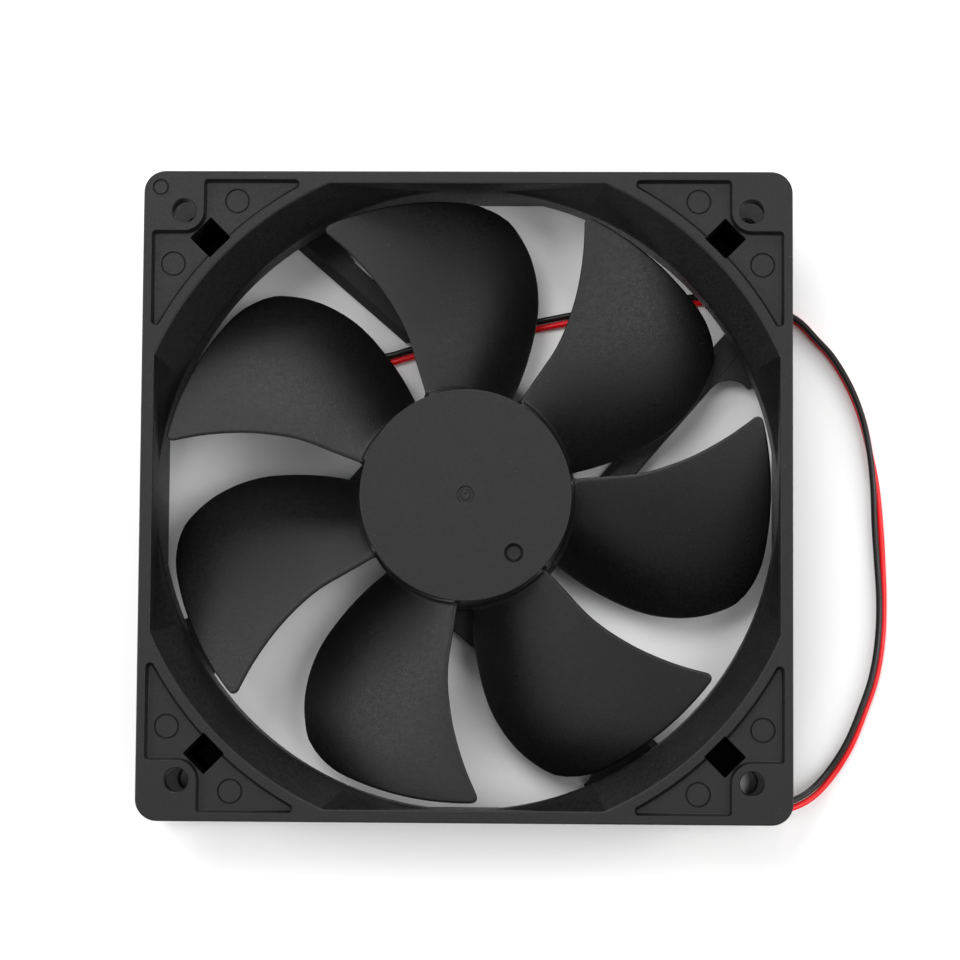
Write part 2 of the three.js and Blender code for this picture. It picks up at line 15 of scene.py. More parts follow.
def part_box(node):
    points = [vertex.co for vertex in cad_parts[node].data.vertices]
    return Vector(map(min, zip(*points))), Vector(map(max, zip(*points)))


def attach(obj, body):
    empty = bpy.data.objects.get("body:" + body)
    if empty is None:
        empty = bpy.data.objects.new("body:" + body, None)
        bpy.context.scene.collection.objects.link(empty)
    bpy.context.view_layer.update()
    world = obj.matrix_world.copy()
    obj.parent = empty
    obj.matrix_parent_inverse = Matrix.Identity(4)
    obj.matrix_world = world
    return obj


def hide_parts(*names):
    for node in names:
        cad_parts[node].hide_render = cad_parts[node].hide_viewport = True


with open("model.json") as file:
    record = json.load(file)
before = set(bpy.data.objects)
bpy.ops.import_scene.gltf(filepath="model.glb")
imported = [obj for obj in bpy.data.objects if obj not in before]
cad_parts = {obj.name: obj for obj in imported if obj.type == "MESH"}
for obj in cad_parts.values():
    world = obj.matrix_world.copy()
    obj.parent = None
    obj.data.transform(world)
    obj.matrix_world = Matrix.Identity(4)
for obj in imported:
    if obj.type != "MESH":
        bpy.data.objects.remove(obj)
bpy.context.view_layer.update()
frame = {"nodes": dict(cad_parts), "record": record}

MM = 0.001


def box_mm(node):
    """The lowest and highest corners of a CAD node, in millimetres."""
    low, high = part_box(node)
    return low / MM, high / MM


# ---------------------------------------------------------------- camera

CAMERA_PLACE = (0.01856, -0.04288, 0.59098)
CAMERA_TURN = (0.08051, 0.02752, 0.00693)
CAMERA_LENS = 116.1


def make_camera():
    camera = bpy.data.cameras.new("camera")
    camera.sensor_width = 36
    camera.lens = CAMERA_LENS
    camera.clip_start = 0.01
    camera.clip_end = 20
    holder = bpy.data.objects.new("camera", camera)
    holder.location = CAMERA_PLACE
    holder.rotation_euler = CAMERA_TURN
    bpy.context.scene.collection.objects.link(holder)
    bpy.context.scene.camera = holder


make_camera()

# ---------------------------------------------------------------- node materials


class Shader:
    """A small helper that adds and links shader nodes round one Principled BSDF."""

    def __init__(self, name):
        self.material = bpy.data.materials.new(name)
        self.material.use_nodes = True
        self.tree = self.material.node_tree
        self.surface = self.tree.nodes["Principled BSDF"]
        self.place = self.node("ShaderNodeTexCoord").outputs["Object"]

    def node(self, kind, inputs=None, **settings):
        made = self.tree.nodes.new(kind)
        for key, value in settings.items():
            setattr(made, key, value)
        for key, value in (inputs or {}).items():
            self.feed(made.inputs[key], value)
        return made

    def feed(self, socket, value):
        if isinstance(value, bpy.types.NodeSocket):
            self.tree.links.new(value, socket)
        else:
            socket.default_value = value

    def set(self, **values):
        for key, value in values.items():
            self.feed(self.surface.inputs[key.replace("_", " ")], value)

    def noise(self, size_mm, detail=2.0, roughness=0.5, place=None):
        """Noise whose blotches are about size_mm across."""
        inputs = {
            "Vector": place or self.place,
            "Scale": 1 / (size_mm * MM),
            "Detail": detail,
            "Roughness": roughness,
        }
        return self.node("ShaderNodeTexNoise", inputs).outputs["Fac"]

    def ramp(self, value, stops):
        """A colour ramp; stops are (position, grey or colour)."""
        made = self.node("ShaderNodeValToRGB", {"Fac": value})
        elements = made.color_ramp.elements
        for i, (position, colour) in enumerate(stops):
            element = elements[i] if i < 2 else elements.new(position)
            element.position = position
            element.color = colour if isinstance(colour, tuple) else (colour, colour, colour, 1)
        return made.outputs["Color"]

    def span(self, value, low, high, to_low, to_high):
        """A value from low..high mapped to to_low..to_high, held at the ends."""
        inputs = {"Value": value, "From Min": low, "From Max": high, "To Min": to_low, "To Max": to_high}
        return self.node("ShaderNodeMapRange", inputs).outputs["Result"]

    def mix(self, share, first, second):
        made = self.node("ShaderNodeMix", data_type="RGBA")
        self.feed(made.inputs["Factor"], share)
        self.feed(made.inputs["A"], first)
        self.feed(made.inputs["B"], second)
        return made.outputs["Result"]

    def math(self, operation, first, second=0.0):
        made = self.node("ShaderNodeMath", operation=operation)
        self.feed(made.inputs[0], first)
        self.feed(made.inputs[1], second)
        return made.outputs["Value"]

    def bump(self, height, depth_mm, strength=1.0, normal=None):
        inputs = {"Height": height, "Distance": depth_mm * MM, "Strength": strength}
        if normal is not None:
            inputs["Normal"] = normal
        return self.node("ShaderNodeBump", inputs).outputs["Normal"]


def grey(value):
    return (value, value, value, 1)


def moulded_black(name, tone, grain_mm=0.3):
    """Black thermoplastic with a spark-eroded grain, which shines more than it scatters.

    It has a fine mottle, cloudy patches, and a few pale specks of dust and wear.
    """
    shader = Shader(name)
    cloud = shader.noise(7, 3)
    mottle = shader.noise(0.8, 3, 0.6)
    grain = shader.noise(grain_mm, 3, 0.7)
    pitted = shader.mix(0.6, mottle, grain)
    colour = shader.mix(shader.span(grain, 0.4, 0.72, 0, 1), grey(tone * 0.2), grey(tone * 4))
    colour = shader.mix(shader.span(cloud, 0.45, 0.7, 0, 0.4), colour, grey(tone * 3))
    fleck = shader.span(shader.noise(0.35, 1, 0.4), 0.77, 0.83, 0, 1)
    patch = shader.span(shader.noise(9, 2), 0.48, 0.62, 0.05, 1)
    colour = shader.mix(shader.math("MULTIPLY", fleck, patch), colour, grey(0.1))
    shader.set(
        Base_Color=colour,
        Roughness=shader.span(pitted, 0.38, 0.64, 0.43, 0.64),
        Normal=shader.bump(grain, 0.055, 1.0),
        Specular_IOR_Level=0.36,
    )
    return shader.material


def plain_plastic(name, colour, roughness=0.4, mottle_mm=2.0):
    """A smooth moulding with slight cloudiness."""
    shader = Shader(name)
    cloud = shader.noise(mottle_mm, 3)
    dark = tuple(0.88 * part for part in colour) + (1,)
    pale = tuple(min(1, 1.08 * part) for part in colour) + (1,)
    shader.set(
        Base_Color=shader.mix(cloud, dark, pale),
        Roughness=shader.span(cloud, 0.3, 0.7, roughness - 0.06, roughness + 0.08),
        Normal=shader.bump(shader.noise(mottle_mm / 6, 2), 0.01, 0.3),
    )
    return shader.material


def bare_metal(name, colour, roughness=0.3, stretch=(1, 1, 1)):
    """Metal with fine tool marks, which run along the axis that stretch makes longest."""
    shader = Shader(name)
    squeezed = shader.node("ShaderNodeMapping", {"Vector": shader.place, "Scale": stretch}).outputs["Vector"]
    marks = shader.noise(0.25, 3, 0.6, squeezed)
    tarnish = shader.noise(3, 3)
    dark = tuple(0.75 * part for part in colour) + (1,)
    shader.set(
        Base_Color=shader.mix(shader.span(tarnish, 0.4, 0.75, 0, 0.6), tuple(colour) + (1,), dark),
        Roughness=shader.span(marks, 0.3, 0.7, roughness - 0.08, roughness + 0.12),
        Normal=shader.bump(marks, 0.01, 0.4),
    )
    shader.surface.inputs["Metallic"].default_value = 1
    return shader.material


def vinyl(name, colour):
    """Extruded wire insulation: smooth and glossy, faintly uneven."""
    shader = Shader(name)
    wave = shader.noise(4, 2)
    dark = tuple(0.8 * part for part in colour) + (1,)
    shader.set(
        Base_Color=shader.mix(wave, tuple(colour) + (1,), dark),
        Roughness=shader.span(wave, 0.3, 0.7, 0.28, 0.4),
        Normal=shader.bump(shader.noise(0.5, 2), 0.01, 0.25),
        Specular_IOR_Level=0.3,
    )
    return shader.material


def wound_copper(name):
    """Enamelled copper wire wound in turns, seen as ridges round each coil, with painted shade in the
    grooves between the turns.
    """
    shader = Shader(name)
    ridge_mm = 1.6
    inputs = {"Vector": shader.place, "Scale": 1 / (ridge_mm * MM), "Distortion": 0.6}
    turns = shader.node("ShaderNodeTexWave", inputs).outputs["Fac"]
    shader.set(
        # Painted shade: the base colour goes dark in the grooves between the turns, where the bump is
        # lowest.
        Base_Color=shader.ramp(turns, [(0.1, (0.2, 0.06, 0.02, 1)), (0.7, (0.7, 0.27, 0.1, 1))]),
        Roughness=shader.span(turns, 0, 1, 0.45, 0.25),
        Normal=shader.bump(turns, 0.06, 0.7),
    )
    shader.surface.inputs["Metallic"].default_value = 0.9
    return shader.material


BLACK_FRAME = moulded_black("frame_plastic", 0.0007)
BLACK_IMPELLER = moulded_black("impeller_plastic", 0.0007, 0.26)
WHITE_NYLON = plain_plastic("nylon_white", (0.74, 0.73, 0.68), 0.38)
BLACK_RESIN = plain_plastic("chip_black", (0.018, 0.018, 0.02), 0.42, 0.8)
RUBBER = plain_plastic("rubber_black", (0.02, 0.02, 0.02), 0.6, 1.5)
FELT = plain_plastic("felt", (0.6, 0.57, 0.48), 0.9, 0.4)
FERRITE = plain_plastic("ferrite", (0.045, 0.043, 0.042), 0.55, 1)
BOARD = plain_plastic("board_green", (0.03, 0.15, 0.05), 0.3, 5)
CERAMIC = plain_plastic("ceramic_tan", (0.4, 0.28, 0.18), 0.4, 1)
LABEL = plain_plastic("label_foil", (0.55, 0.555, 0.56), 0.35, 3)
STEEL = bare_metal("yoke_steel", (0.56, 0.56, 0.57), 0.32)
CORE_STEEL = bare_metal("core_steel", (0.45, 0.45, 0.46), 0.4, (1, 1, 9))
SHAFT_STEEL = bare_metal("shaft_steel", (0.62, 0.62, 0.63), 0.18, (1, 1, 6))
BRASS = bare_metal("brass", (0.75, 0.55, 0.25), 0.28, (1, 1, 6))
BRONZE = bare_metal("bronze", (0.5, 0.31, 0.16), 0.5)
TIN = bare_metal("tin_plate", (0.66, 0.66, 0.64), 0.25)
COPPER = wound_copper("copper_wire")
RED_VINYL = vinyl("wire_red", (0.8, 0.004, 0.008))
BLACK_VINYL = vinyl("wire_black", (0.01, 0.008, 0.008))

SLOT_MATERIALS = {
    "yoke_steel": STEEL,
    "ferrite": FERRITE,
    "brass": BRASS,
    "bronze": BRONZE,
    "shaft_steel": SHAFT_STEEL,
    "nylon_white": WHITE_NYLON,
    "felt": FELT,
    "rubber_black": RUBBER,
    "label_foil": LABEL,
    "core_steel": CORE_STEEL,
    "copper_wire": COPPER,
    "board_green": BOARD,
    "tin_plate": TIN,
    "chip_black": BLACK_RESIN,
    "ceramic_tan": CERAMIC,
}

# ---------------------------------------------------------------- the leads

LEAD_DIAMETER = 1.2

# The middle line of the pair, in metres, from the solder pads to the plug. The last two numbers
# of a row are the pair's roll in degrees and half the distance between its two leads.
LEAD_ROUTE = [
    (-0.0066, 0.0094, 0.00335, 0, 0.00070),
    (-0.0113, 0.0161, 0.00330, 0, 0.00070),
    (-0.0134, 0.0187, 0.00250, 0, 0.00070),
    (-0.0164, 0.0205, 0.00120, 0, 0.00070),
    (-0.0210, 0.0201, 0.00068, 0, 0.00070),
    (-0.0256, 0.0189, 0.00068, 0, 0.00070),
    (-0.0295, 0.0185, 0.00068, 0, 0.00070),
    (-0.0322, 0.0198, 0.00068, 0, 0.00070),
    (-0.0333, 0.0225, 0.00068, 0, 0.00070),
    (-0.0325, 0.0253, 0.00068, 0, 0.00070),
    (-0.0301, 0.0269, 0.00068, 0, 0.00070),
    (-0.0258, 0.0270, 0.00068, 0, 0.00070),
    (-0.0166, 0.0276, 0.00068, 0, 0.00070),
    (-0.0103, 0.0293, 0.00068, 0, 0.00070),
    (-0.0020, 0.0313, 0.00068, 0, 0.00070),
    (0.0190, 0.0357, 0.00068, 0, 0.00070),
    (0.0310, 0.0379, 0.00070, 5, 0.00070),
    (0.0434, 0.0394, 0.00108, 38, 0.00070),
    (0.0530, 0.0395, 0.00130, 62, 0.00070),
    (0.0624, 0.0354, 0.00138, 80, 0.00070),
    (0.0662, 0.0316, 0.00138, 82, 0.00070),
    (0.0690, 0.0285, 0.00138, 82, 0.00070),
    (0.0726, 0.0224, 0.00138, 82, 0.00070),
    (0.0749, 0.0163, 0.00138, 86, 0.00070),
    (0.0762, 0.0105, 0.00137, 96, 0.00070),
    (0.0772, 0.0039, 0.00126, 122, 0.00070),
    (0.0777, -0.0035, 0.00106, 146, 0.00070),
    (0.0781, -0.0104, 0.00108, 144, 0.00070),
    (0.0784, -0.0180, 0.00120, 132, 0.00070),
    (0.0781, -0.0256, 0.00120, 132, 0.00070),
    (0.0769, -0.0327, 0.00120, 132, 0.00070),
    (0.0748, -0.0389, 0.00120, 132, 0.00070),
    (0.0720, -0.0456, 0.00114, 140, 0.00070),
    (0.0682, -0.0514, 0.00120, 150, 0.00070),
    (0.0646, -0.0549, 0.00250, 160, 0.00070),
    (0.0604, -0.0568, 0.00480, 155, 0.00070),
    (0.0560, -0.0573, 0.00630, 130, 0.00080),
    (0.0515, -0.0571, 0.00750, 100, 0.00110),
    (0.0480, -0.0571, 0.00800, 90, 0.00125),
    (0.0455, -0.0571, 0.00800, 90, 0.00125),
]


def lead_points(side):
    """One lead's points: side 1 is black, on the left at roll 0, and side -1 is red."""
    points = []
    for i, (x, y, z, roll, spread) in enumerate(LEAD_ROUTE):
        before = LEAD_ROUTE[max(i - 1, 0)]
        after = LEAD_ROUTE[min(i + 1, len(LEAD_ROUTE) - 1)]
        run = Vector((after[0] - before[0], after[1] - before[1])).normalized()
        across = side * spread * math.cos(math.radians(roll))
        up = side * spread * math.sin(math.radians(roll))
        points.append(Vector((x - run.y * across, y + run.x * across, z + up)))
    return points


def smooth_path(points, per_span=6):
    """A centripetal Catmull-Rom curve through the points."""
    ends = [2 * points[0] - points[1], *points, 2 * points[-1] - points[-2]]
    path = []
    for a, b, c, d in zip(ends, ends[1:], ends[2:], ends[3:]):
        first, middle, last = ((q - p).length ** 0.5 for p, q in ((a, b), (b, c), (c, d)))
        leave = ((b - a) / first - (c - a) / (first + middle) + (c - b) / middle) * middle
        arrive = ((c - b) / middle - (d - b) / (middle + last) + (d - c) / last) * middle
        for step in range(per_span):
            t = step / per_span
            path.append(
                b * (2 * t**3 - 3 * t**2 + 1)
                + c * (3 * t**2 - 2 * t**3)
                + leave * (t**3 - 2 * t**2 + t)
                + arrive * (t**3 - t**2)
            )
    return [*path, points[-1]]


def path_length(path):
    return sum((q - p).length for p, q in zip(path, path[1:]))


def make_lead(name, side, material):
    path = smooth_path(lead_points(side))
    curve = bpy.data.curves.new(name, "CURVE")
    curve.dimensions = "3D"
    curve.bevel_depth = LEAD_DIAMETER * MM / 2
    curve.bevel_resolution = 5
    curve.use_fill_caps = True
    spline = curve.splines.new("POLY")
    spline.points.add(len(path) - 1)
    for place, point in zip(spline.points, path):
        place.co = (*point, 1)
    spline.use_smooth = True
    curve.materials.append(material)
    lead = bpy.data.objects.new(name + "_insulated", curve)
    bpy.context.scene.collection.objects.link(lead)
    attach(lead, "housing")
    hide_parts(name)
    return lead, path_length(path)


black_lead, black_length = make_lead("lead_black", 1, BLACK_VINYL)
red_lead, red_length = make_lead("lead_red", -1, RED_VINYL)

# ---------------------------------------------------------------- mesh helpers


def mesh_object(name, vertices, faces):
    """An object in millimetres, not yet scaled."""
    mesh = bpy.data.meshes.new(name)
    mesh.from_pydata(vertices, [], faces)
    mesh.validate()
    made = bpy.data.objects.new(name, mesh)
    bpy.context.scene.collection.objects.link(made)
    return made


def lofted(name, loops):
    """A solid through a stack of equal-length loops, anticlockwise seen from the last one."""
    count = len(loops[0])
    vertices = [tuple(point) for loop in loops for point in loop]
    faces = [tuple(reversed(range(count)))]
    for level in range(len(loops) - 1):
        for i in range(count):
            a = level * count + i
            b = level * count + (i + 1) % count
            faces.append((a, b, b + count, a + count))
    faces.append(tuple(range((len(loops) - 1) * count, len(loops) * count)))
    return mesh_object(name, vertices, faces)


def turned(name, profile, segments=128):
    """A body of revolution. The profile is a closed chain of (radius, height), anticlockwise."""
    vertices = []
    rings = []
    for radius, height in profile:
        if radius < 1e-6:
            rings.append([len(vertices)] * segments)
            vertices.append((0, 0, height))
            continue
        rings.append(list(range(len(vertices), len(vertices) + segments)))
        for i in range(segments):
            turn = 2 * math.pi * i / segments
            vertices.append((radius * math.cos(turn), radius * math.sin(turn), height))
    faces = []
    for lower, upper in zip(rings, rings[1:] + rings[:1]):
        for i in range(segments):
            j = (i + 1) % segments
            corners = list(dict.fromkeys((lower[i], lower[j], upper[j], upper[i])))
            if len(corners) > 2:
                faces.append(tuple(corners))
    return mesh_object(name, vertices, faces)


def arc(centre, radius, start, end, steps):
    """Points along an arc, both ends included, angles in degrees."""
    turns = (math.radians(start + (end - start) * i / steps) for i in range(steps + 1))
    return [(centre[0] + radius * math.cos(turn), centre[1] + radius * math.sin(turn)) for turn in turns]


def rounded_rectangle(half_x, half_y, corner, steps=12):
    points = []
    for quarter, (sx, sy) in enumerate(((1, 1), (-1, 1), (-1, -1), (1, -1))):
        centre = (sx * (half_x - corner), sy * (half_y - corner))
        points += arc(centre, corner, 90 * quarter, 90 * quarter + 90, steps)
    return points


def grown(outline, distance):
    """The outline moved outward by a distance that is small beside its own rounding."""
    moved = []
    count = len(outline)
    for i, (x, y) in enumerate(outline):
        before = Vector(outline[i - 1])
        after = Vector(outline[(i + 1) % count])
        here = Vector((x, y))
        first = (here - before).normalized()
        second = (after - here).normalized()
        normal = Vector((first.y + second.y, -first.x - second.x)).normalized()
        stretch = 1 / max(0.5, normal.dot(Vector((first.y, -first.x))))
        moved.append(tuple(here + normal * distance * stretch))
    return moved


def at_height(outline, z):
    return [(x, y, z) for x, y in outline]


def quarter_steps(count=4):
    """Pairs (along, across) of a quarter circle of radius 1, from (0, 0) to (1, 1)."""
    turns = [math.pi / 2 * i / count for i in range(count + 1)]
    return [(1 - math.cos(turn), math.sin(turn)) for turn in turns]


def soft_prism(name, outline, bottom, top, soft_bottom=0.25, soft_top=0.25):
    """A prism whose rims are rounded off inward."""
    loops = []
    for out, up in quarter_steps():
        inset = soft_bottom * (1 - up)
        loops.append(at_height(grown(outline, -inset), bottom + soft_bottom * out))
    for out, up in reversed(quarter_steps()):
        inset = soft_top * (1 - up)
        loops.append(at_height(grown(outline, -inset), top - soft_top * out))
    return lofted(name, loops)


def flared_cutter(name, outline, floor, face, lip=0.2, fillet=0.2, over=1.0, draft=0.0):
    """A pocket's cutter: rounded at its floor, drafted, and flared where it leaves the face."""
    loops = []
    for out, up in quarter_steps():
        inset = draft + fillet * (1 - up)
        loops.append(at_height(grown(outline, -inset), floor + fillet * out))
    for out, up in quarter_steps():
        loops.append(at_height(grown(outline, lip * out), face - lip * (1 - up)))
    loops.append(at_height(grown(outline, lip), face + over))
    return lofted(name, loops)


def combine(body, tool, operation):
    """Joins or cuts body with tool, and removes tool."""
    change = body.modifiers.new("change", "BOOLEAN")
    change.operation = operation
    change.solver = "MANIFOLD"
    change.object = tool
    graph = bpy.context.evaluated_depsgraph_get()
    result = bpy.data.meshes.new_from_object(body.evaluated_get(graph))
    body.modifiers.clear()
    body.data = result
    bpy.data.objects.remove(tool)
    return body


def spun(maker, turns):
    """A maker's pieces turned about Z, as a list."""
    pieces = []
    for turn in turns:
        piece = maker()
        piece.data.transform(Matrix.Rotation(math.radians(turn), 4, "Z"))
        pieces.append(piece)
    return pieces


def moved(piece, x, y, z=0):
    piece.data.transform(Matrix.Translation((x, y, z)))
    return piece


QUARTERS = (0, 90, 180, 270)
SHARP_FROM = math.radians(38)


def finish_piece(piece, name, material, body, node):
    """Scales a piece to metres, shades it, parents it to a body's empty, and hides the CAD node that it
    stands in for.
    """
    piece.name = name
    piece.data.name = name
    tidy = bmesh.new()
    tidy.from_mesh(piece.data)
    bmesh.ops.remove_doubles(tidy, verts=tidy.verts, dist=1e-4)
    bmesh.ops.dissolve_degenerate(tidy, edges=tidy.edges, dist=1e-4)
    tidy.to_mesh(piece.data)
    tidy.free()
    piece.data.transform(Matrix.Scale(MM, 4))
    piece.data.materials.clear()
    piece.data.materials.append(material)
    piece.data.shade_smooth()
    piece.data.set_sharp_from_angle(angle=SHARP_FROM)
    even = piece.modifiers.new("even normals", "WEIGHTED_NORMAL")
    even.keep_sharp = True
    even.weight = 80
    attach(piece, body)
    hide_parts(node)
    return piece


# ---------------------------------------------------------------- frame

frame_low, frame_high = box_mm("frame")
HALF = (frame_high.x - frame_low.x) / 2
DEPTH = frame_high.z - frame_low.z
CORNER = 4
FLANGE = 4
RIM = 0.3
HOLE_PLACE = HALF - 7.5
HOLE_RADIUS = 2.2
THROAT = 57.85
FLARE = 63.15
FLARE_DEPTH = 8.6
FLAT = 57.65
GUSSET = 65
DUCT = 60.2


def flange_plate(bottom, top):
    outline = rounded_rectangle(HALF, HALF, CORNER)
    return soft_prism("plate", outline, bottom, top, RIM, RIM)


def duct_spool():
    """The duct's outside, which swells into both flanges, cut off square at the frame's sides."""
    waist = FLARE_DEPTH + 1
    profile = [(0, 0.5), (GUSSET, 0.5), (GUSSET, FLANGE)]
    bend = quarter_steps(10)
    for along, across in bend:
        profile.append((GUSSET - (GUSSET - DUCT) * across, FLANGE + (waist - FLANGE) * along))
    for along, across in reversed(bend):
        profile.append((GUSSET - (GUSSET - DUCT) * across, DEPTH - FLANGE - (waist - FLANGE) * along))
    profile += [(GUSSET, DEPTH - 0.5), (0, DEPTH - 0.5)]
    spool = turned("spool", profile)
    return combine(spool, flange_plate(0, DEPTH), "INTERSECT")


def lip(radius, slope_radius, slope_height, size=0.35):
    """Rounds the meeting of a conical passage with the face it opens on.

    Returns (radius, height below the face) pairs, from the cone out to the face.
    """
    slope = Vector((slope_radius - radius, -slope_height)).normalized()
    start = Vector((radius, 0)) + slope * size
    end = Vector((radius + size, 0))
    middle = Vector((radius, 0))
    pairs = []
    for i in range(5):
        t = i / 4
        pairs.append(tuple(start * (1 - t) ** 2 + middle * 2 * t * (1 - t) + end * t**2))
    return pairs


def air_passage():
    """What the duct is hollowed with: round in the middle, flared to both faces, flat at the sides."""
    rim = lip(FLARE, THROAT, FLARE_DEPTH)
    back = [(radius, -height) for radius, height in reversed(rim)]
    front = [(radius, DEPTH + height) for radius, height in rim]
    outer = FLARE + 0.35
    blend = [
        (THROAT + 0.35, FLARE_DEPTH - 0.6),
        (THROAT + 0.09, FLARE_DEPTH - 0.12),
        (THROAT, FLARE_DEPTH + 0.4),
    ]
    mirrored = [(radius, DEPTH - height) for radius, height in reversed(blend)]
    profile = [(0, -1), (outer, -1), *back, *blend, *mirrored, *front, (outer, DEPTH + 1), (0, DEPTH + 1)]
    flared = turned("passage", profile, 192)
    sides = rounded_rectangle(FLAT, FLAT, 0.4, 3)
    soft = 0.3
    loops = [at_height(grown(sides, soft), -2)]
    for out, up in reversed(quarter_steps()):
        loops.append(at_height(grown(sides, soft * out), soft * (1 - up)))
    for out, up in quarter_steps():
        loops.append(at_height(grown(sides, soft * out), DEPTH - soft * (1 - up)))
    loops.append(at_height(grown(sides, soft), DEPTH + 2))
    return combine(flared, lofted("sides", loops), "INTERSECT")


# Corner features, all for the corner where x and y are positive.
POCKET_DEPTH = 1.2
POCKET_WALL = HALF - 1.6
BOSS_EDGE = 48.85
BOSS_RADIUS = HOLE_PLACE - BOSS_EDGE
POST_PLACE = 47.65
POST_HOLE = 5.4
POST_SIDE = 8.3
POST_FLOOR = 2.5
PIN_MARK_RADIUS = 2.3
PIN_MARKS = ((42.74, 54.5), (54.5, 42.74))
CORNER_MARK = 56.9


def pocket_outline():
    """The recess between the inlet rim, the side wall and the screw boss, symmetric about y = x."""
    tip = 0.85
    inner = 0.75
    centre_x = POCKET_WALL - tip
    centre_y = math.sqrt((GUSSET + tip) ** 2 - centre_x**2)
    meets = math.degrees(math.atan2(centre_y, centre_x))
    half = arc((0, 0), GUSSET, 45, meets, 12)
    half += arc((centre_x, centre_y), tip, meets + 180, 360, 8)[1:]
    half += arc((POCKET_WALL - inner, BOSS_EDGE - inner), inner, 0, 90, 5)
    half += arc((HOLE_PLACE, HOLE_PLACE), BOSS_RADIUS, 270, 225, 8)
    return half + [(y, x) for x, y in reversed(half[1:-1])]


def corner_pocket():
    floor = DEPTH - POCKET_DEPTH
    return flared_cutter("pocket", pocket_outline(), floor, DEPTH, lip=0.12, fillet=0.15, draft=0.42)


def screw_hole():
    """Both flanges' holes, a hair larger at their mouths."""
    soft = 0.18
    profile = [(0, -1), (HOLE_RADIUS + soft, -1)]
    for low, high in ((0, FLANGE), (DEPTH - FLANGE, DEPTH)):
        profile += [(HOLE_RADIUS + soft, low), (HOLE_RADIUS, low + soft)]
        profile += [(HOLE_RADIUS, high - soft), (HOLE_RADIUS + soft, high)]
    profile += [(HOLE_RADIUS + soft, DEPTH + 1), (0, DEPTH + 1)]
    return moved(turned("hole", profile, 48), HOLE_PLACE, HOLE_PLACE)


def square_column(side, corner):
    outline = rounded_rectangle(side / 2, side / 2, corner, 4)
    turn = math.radians(45)
    return [
        (
            POST_PLACE + x * math.cos(turn) - y * math.sin(turn),
            POST_PLACE + x * math.sin(turn) + y * math.cos(turn),
        )
        for x, y in outline
    ]


def post():
    return lofted("post", [at_height(square_column(POST_SIDE, 0.5), z) for z in (1, DEPTH - 0.5)])


def post_hole():
    """The square socket down a post, from the pocket's floor to near the back."""
    outline = square_column(POST_HOLE, 0.2)
    face = DEPTH - POCKET_DEPTH
    return flared_cutter("post hole", outline, POST_FLOOR, face, lip=0.1, fillet=0.1, over=3)


def pin_mark(x, y, radius=PIN_MARK_RADIUS, face=DEPTH - POCKET_DEPTH):
    """The shallow disc that an ejector pin leaves, with a sunken line round it."""
    disc = face - 0.06
    line = face - 0.35
    profile = [
        (0, disc),
        (radius - 0.3, disc),
        (radius - 0.2, line),
        (radius - 0.08, line),
        (radius + 0.04, face + 0.02),
        (0, face + 0.02),
    ]
    return moved(turned("pin mark", profile, 48), x, y)


# Motor base and struts.
BASE_RADIUS = 20.5
BASE_HEIGHT = 5
BASE_FLOOR = 2.4
LABEL_RECESS = 0.65
LABEL_POCKET = 19.8
SKIRT_BORE = 19.2
TUBE_RADIUS = 3.6
PLUG_BORE = 3.3
STRUT_TURN = 49.1
STRUT_OUTER = 20.2
STRUT_WIDTHS = (4.95, 4.95, 9.55, 4.95)
STRUT_HEIGHT = 3.5
STRUT_FILLET = 4.45


def motor_base():
    soft = 0.3
    collar = TUBE_RADIUS + 1.6
    profile = [
        (PLUG_BORE, LABEL_RECESS),
        (LABEL_POCKET, LABEL_RECESS),
        (LABEL_POCKET, 0.12),
        (LABEL_POCKET + 0.12, 0),
        (BASE_RADIUS - soft, 0),
        (BASE_RADIUS - soft * 0.3, soft * 0.3),
        (BASE_RADIUS, soft),
        (BASE_RADIUS, BASE_HEIGHT - soft),
        (BASE_RADIUS - soft * 0.3, BASE_HEIGHT - soft * 0.3),
        (BASE_RADIUS - soft, BASE_HEIGHT),
        (SKIRT_BORE + 0.2, BASE_HEIGHT),
        (SKIRT_BORE, BASE_HEIGHT - 0.2),
        (SKIRT_BORE, BASE_FLOOR + 0.4),
        (SKIRT_BORE - 0.4, BASE_FLOOR),
        (collar + 0.3, BASE_FLOOR),
        (collar, BASE_FLOOR + 0.3),
        (collar, BASE_HEIGHT - 0.9),
        (TUBE_RADIUS + 0.3, BASE_HEIGHT - 0.9),
        (TUBE_RADIUS + 0.3, BASE_FLOOR - 1),
        (PLUG_BORE, BASE_FLOOR - 1),
    ]
    return turned("base", profile, 128)


def strut_section(width):
    """The strut across its length, as (distance from the fan's centre line, height)."""
    inner = STRUT_OUTER - width
    soft = 0.25
    points = [(inner, 0), (STRUT_OUTER, 0)]
    points += arc((STRUT_OUTER - soft, STRUT_HEIGHT - soft), soft, 0, 90, 4)
    points += arc((inner + 1.35 + soft, STRUT_HEIGHT - soft), soft, 90, 135, 3)
    points += [(inner + 0.05, 1.25), (inner, 1.1)]
    return points


def strut(width):
    """One strut from the motor base to the duct, spread by a round fillet where it meets the wall."""
    length = FLARE - 2
    section = strut_section(width)
    loops = [[(across, along, up) for across, up in section] for along in (length, 0)]
    beam = lofted("strut", loops)
    middle = Vector((STRUT_OUTER + STRUT_FILLET, 0))
    middle.y = math.sqrt((THROAT - STRUT_FILLET) ** 2 - middle.x**2)
    wall_turn = math.degrees(math.atan2(middle.y, middle.x)) + 15
    # The fillet's web overlaps the beam and stays a hair inside its two faces, so none coincide.
    overlapped = STRUT_OUTER - 0.7
    sunk = 0.03
    outline = [(overlapped, middle.y - 0.5)]
    outline += arc(middle, STRUT_FILLET, 180, wall_turn, 12)
    outline += [tuple(Vector(outline[-1]).normalized() * (FLARE + 0.4)), (overlapped, length - 2)]
    web = soft_prism("web", list(reversed(outline)), sunk, STRUT_HEIGHT - sunk, 0.02, 0.25)
    return combine(beam, web, "UNION")


